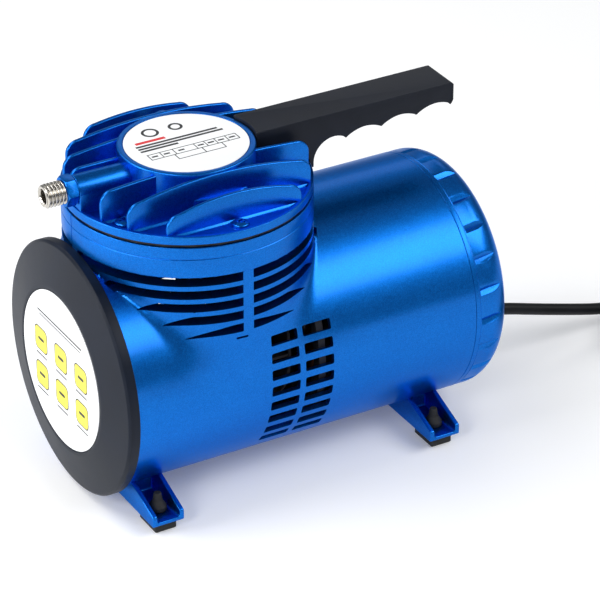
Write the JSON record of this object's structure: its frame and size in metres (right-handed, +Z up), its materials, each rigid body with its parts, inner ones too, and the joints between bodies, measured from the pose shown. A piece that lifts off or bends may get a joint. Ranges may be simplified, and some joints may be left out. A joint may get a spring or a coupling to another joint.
{
  "type": "airbrush compressor",
  "caption": "Oil-free diaphragm air compressor with a round finned pump head on a horizontal motor housing, a carrying handle, rubber feet, an outlet nipple and a mains lead.",
  "frame": {"origin": "on the floor under the middle of the machine, its mains lead left out", "axes": "+Z up, motor axis along Y, black end cover and air outlet towards -Y, rear cap and mains lead towards +Y"},
  "size_m": [0.1846, 0.4538, 0.1925],
  "materials": {
    "blue_paint": "metallic gloss paint",
    "black_plastic": "satin moulded",
    "label_film": "printed film",
    "nickel": "nickel plated",
    "rubber": "moulded",
    "zinc_steel": "zinc plated",
    "spring_steel": "rolled",
    "felt": "pressed felt",
    "cast_aluminium": "as cast",
    "bearing_steel": "ground",
    "cast_iron": "machined",
    "lamination_steel": "stacked sheet",
    "copper_wire": "varnished winding",
    "fan_plastic": "moulded",
    "terminal_plastic": "moulded",
    "red_plastic": "moulded",
    "cord_pvc": "flexible PVC",
    "plug_brass": "nickel plated"
  },
  "bodies": {
    "machine": {"body_housing": "blue_paint", "rear_cap": "blue_paint", "head_cover": "blue_paint", "head_screw_1": "blue_paint", "head_screw_2": "blue_paint", "head_screw_3": "blue_paint", "head_screw_4": "blue_paint", "head_screw_5": "blue_paint", "front_cover": "black_plastic", "handle": "black_plastic", "switch_frame": "black_plastic", "front_label": "label_film", "top_label": "label_film", "outlet_fitting": "nickel", "foot_front_left": "rubber", "foot_front_right": "rubber", "foot_rear_left": "rubber", "foot_rear_right": "rubber", "diaphragm": "rubber", "valve_gasket": "rubber", "cap_screw_1": "zinc_steel", "cap_screw_2": "zinc_steel", "cap_screw_3": "zinc_steel", "cap_screw_4": "zinc_steel", "handle_screw_1": "zinc_steel", "handle_screw_2": "zinc_steel", "stator_bolt_1": "zinc_steel", "stator_bolt_2": "zinc_steel", "intake_filter": "felt", "valve_plate": "cast_aluminium", "front_bracket": "cast_aluminium", "rear_bracket": "cast_aluminium", "front_bearing": "bearing_steel", "rear_bearing": "bearing_steel", "stator_core": "lamination_steel", "winding_front": "copper_wire", "winding_rear": "copper_wire", "terminal_block": "terminal_plastic", "strain_relief": "cord_pvc", "power_cord": "cord_pvc", "cord_coil": "cord_pvc", "cord_tail": "cord_pvc", "plug_body": "cord_pvc", "plug_pin_left": "plug_brass", "plug_pin_right": "plug_brass"},
    "rotor": {"motor_shaft": "bearing_steel", "rotor_core": "lamination_steel", "cooling_fan": "fan_plastic", "eccentric": "cast_iron", "shaft_nut": "zinc_steel"},
    "crank_rod": {"connecting_rod": "cast_aluminium", "rod_bearing": "bearing_steel", "clamp_plate": "cast_aluminium", "clamp_screw": "zinc_steel"},
    "rocker": {"switch_rocker": "red_plastic"},
    "intake_valve": {"intake_reed": "spring_steel"},
    "outlet_valve": {"outlet_reed": "spring_steel"}
  },
  "joints": [
    {"name": "rotor_spin", "type": "hinge", "parent": "machine", "child": "rotor", "pos_m": [0, 0, 0.0745], "axis": [0, 1, 0], "continuous": true, "deforming": ["diaphragm"]},
    {"name": "rod_orbit", "type": "hinge", "parent": "rotor", "child": "crank_rod", "pos_m": [0, -0.0411, 0.077], "axis": [0, 1, 0], "continuous": true, "deforming": ["diaphragm"]},
    {"name": "rocker_tilt", "type": "hinge", "parent": "machine", "child": "rocker", "pos_m": [0, 0.1209, 0.1115], "axis": [1, 0, 0], "range_deg": [0, 16]},
    {"name": "intake_reed_flex", "type": "hinge", "parent": "machine", "child": "intake_valve", "pos_m": [0.011, -0.0271, 0.171], "axis": [0, 1, 0], "range_deg": [-5, 0], "stiffness_Nm_per_rad": 0.02, "springref_deg": 2.86},
    {"name": "outlet_reed_flex", "type": "hinge", "parent": "machine", "child": "outlet_valve", "pos_m": [0.011, -0.0551, 0.1746], "axis": [0, 1, 0], "range_deg": [0, 8], "stiffness_Nm_per_rad": 0.02, "springref_deg": -2.86}
  ],
  "couplings": [
    {"joint": "rod_orbit", "follows": "rotor_spin", "ratio": -1}
  ]
}
